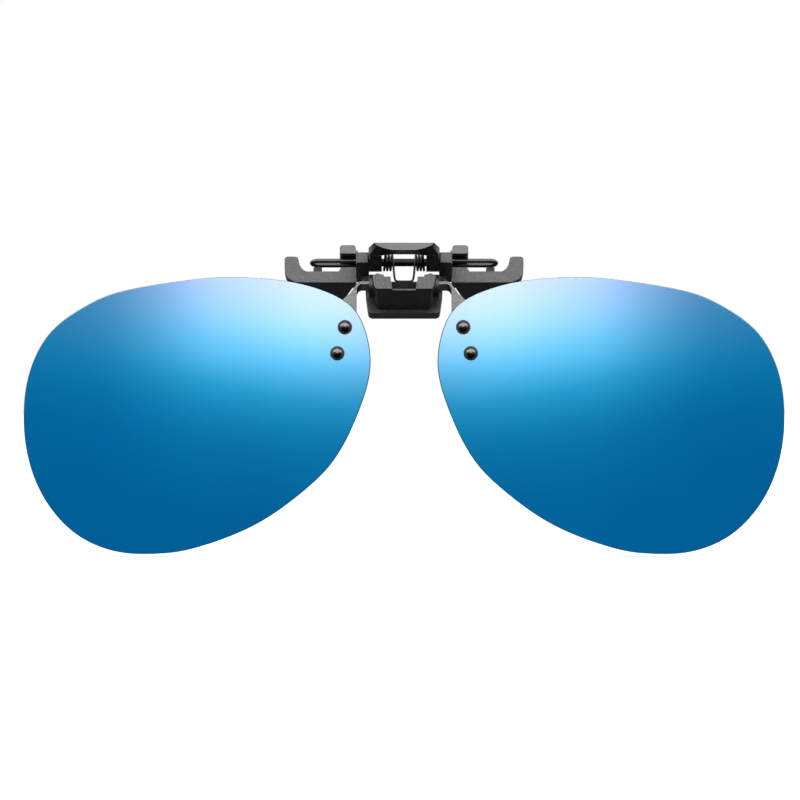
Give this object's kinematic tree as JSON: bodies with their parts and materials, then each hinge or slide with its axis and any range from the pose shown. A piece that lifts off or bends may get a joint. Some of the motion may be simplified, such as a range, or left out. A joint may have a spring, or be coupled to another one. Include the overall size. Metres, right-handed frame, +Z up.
{
  "type": "clip-on flip-up lenses",
  "caption": "Mirrored aviator lenses on a flip-up bracket, carried by a small sprung clip that grips a pair of spectacles.",
  "frame": {"origin": "centre of the clip's grip, midway between the claw tips in the plane of their pad faces", "axes": "+X to the right, +Z up, lenses face -Y with the lenses flipped up as at rest"},
  "size_m": [0.1314, 0.0219, 0.0537],
  "materials": {
    "mirror_lens": "blue mirror coating over a tinted plastic lens",
    "bracket_steel": "satin stamped steel",
    "cam_plastic": "smooth moulded",
    "rivet_nickel": "dark polished nickel",
    "washer_rubber": "matte black",
    "jaw_plastic": "fine grain black moulding",
    "tab_plastic": "smooth black moulding",
    "spring_steel": "blackened spring steel",
    "pin_steel": "blackened steel pin",
    "wire_steel": "drawn steel wire",
    "sleeve_vinyl": "glossy black vinyl",
    "pad_rubber": "soft dark grey"
  },
  "bodies": {
    "clip_body": {"front_jaw_moulding": "jaw_plastic", "base_tray": "jaw_plastic", "detent_leaf": "spring_steel", "hinge_pin": "pin_steel", "torsion_spring": "spring_steel", "left_tip_pad": "pad_rubber", "left_stop_pad": "pad_rubber", "right_tip_pad": "pad_rubber", "right_stop_pad": "pad_rubber"},
    "rear_jaw": {"press_tab": "tab_plastic", "left_wire_core": "wire_steel", "left_wire_sleeve": "sleeve_vinyl", "right_wire_core": "wire_steel", "right_wire_sleeve": "sleeve_vinyl"},
    "lens_carrier": {"left_lens": "mirror_lens", "right_lens": "mirror_lens", "bridge_bracket": "bracket_steel", "left_cam": "cam_plastic", "left_upper_rivet": "rivet_nickel", "left_upper_washer": "washer_rubber", "left_upper_spacer": "washer_rubber", "left_lower_rivet": "rivet_nickel", "left_lower_washer": "washer_rubber", "left_lower_spacer": "washer_rubber", "right_cam": "cam_plastic", "right_upper_rivet": "rivet_nickel", "right_upper_washer": "washer_rubber", "right_upper_spacer": "washer_rubber", "right_lower_rivet": "rivet_nickel", "right_lower_washer": "washer_rubber", "right_lower_spacer": "washer_rubber"}
  },
  "joints": [
    {"name": "lens_flip", "type": "hinge", "parent": "clip_body", "child": "lens_carrier", "pos_m": [0, -0.00639, -0.0047], "axis": [1, 0, 0], "range_deg": [-20, 70]},
    {"name": "jaw_open", "type": "hinge", "parent": "clip_body", "child": "rear_jaw", "pos_m": [0, -0.00704, -0.00063], "axis": [1, 0, 0], "range_deg": [0, 30], "stiffness_Nm_per_rad": 0.08, "springref_deg": -20.05, "deforming": ["torsion_spring"]}
  ]
}
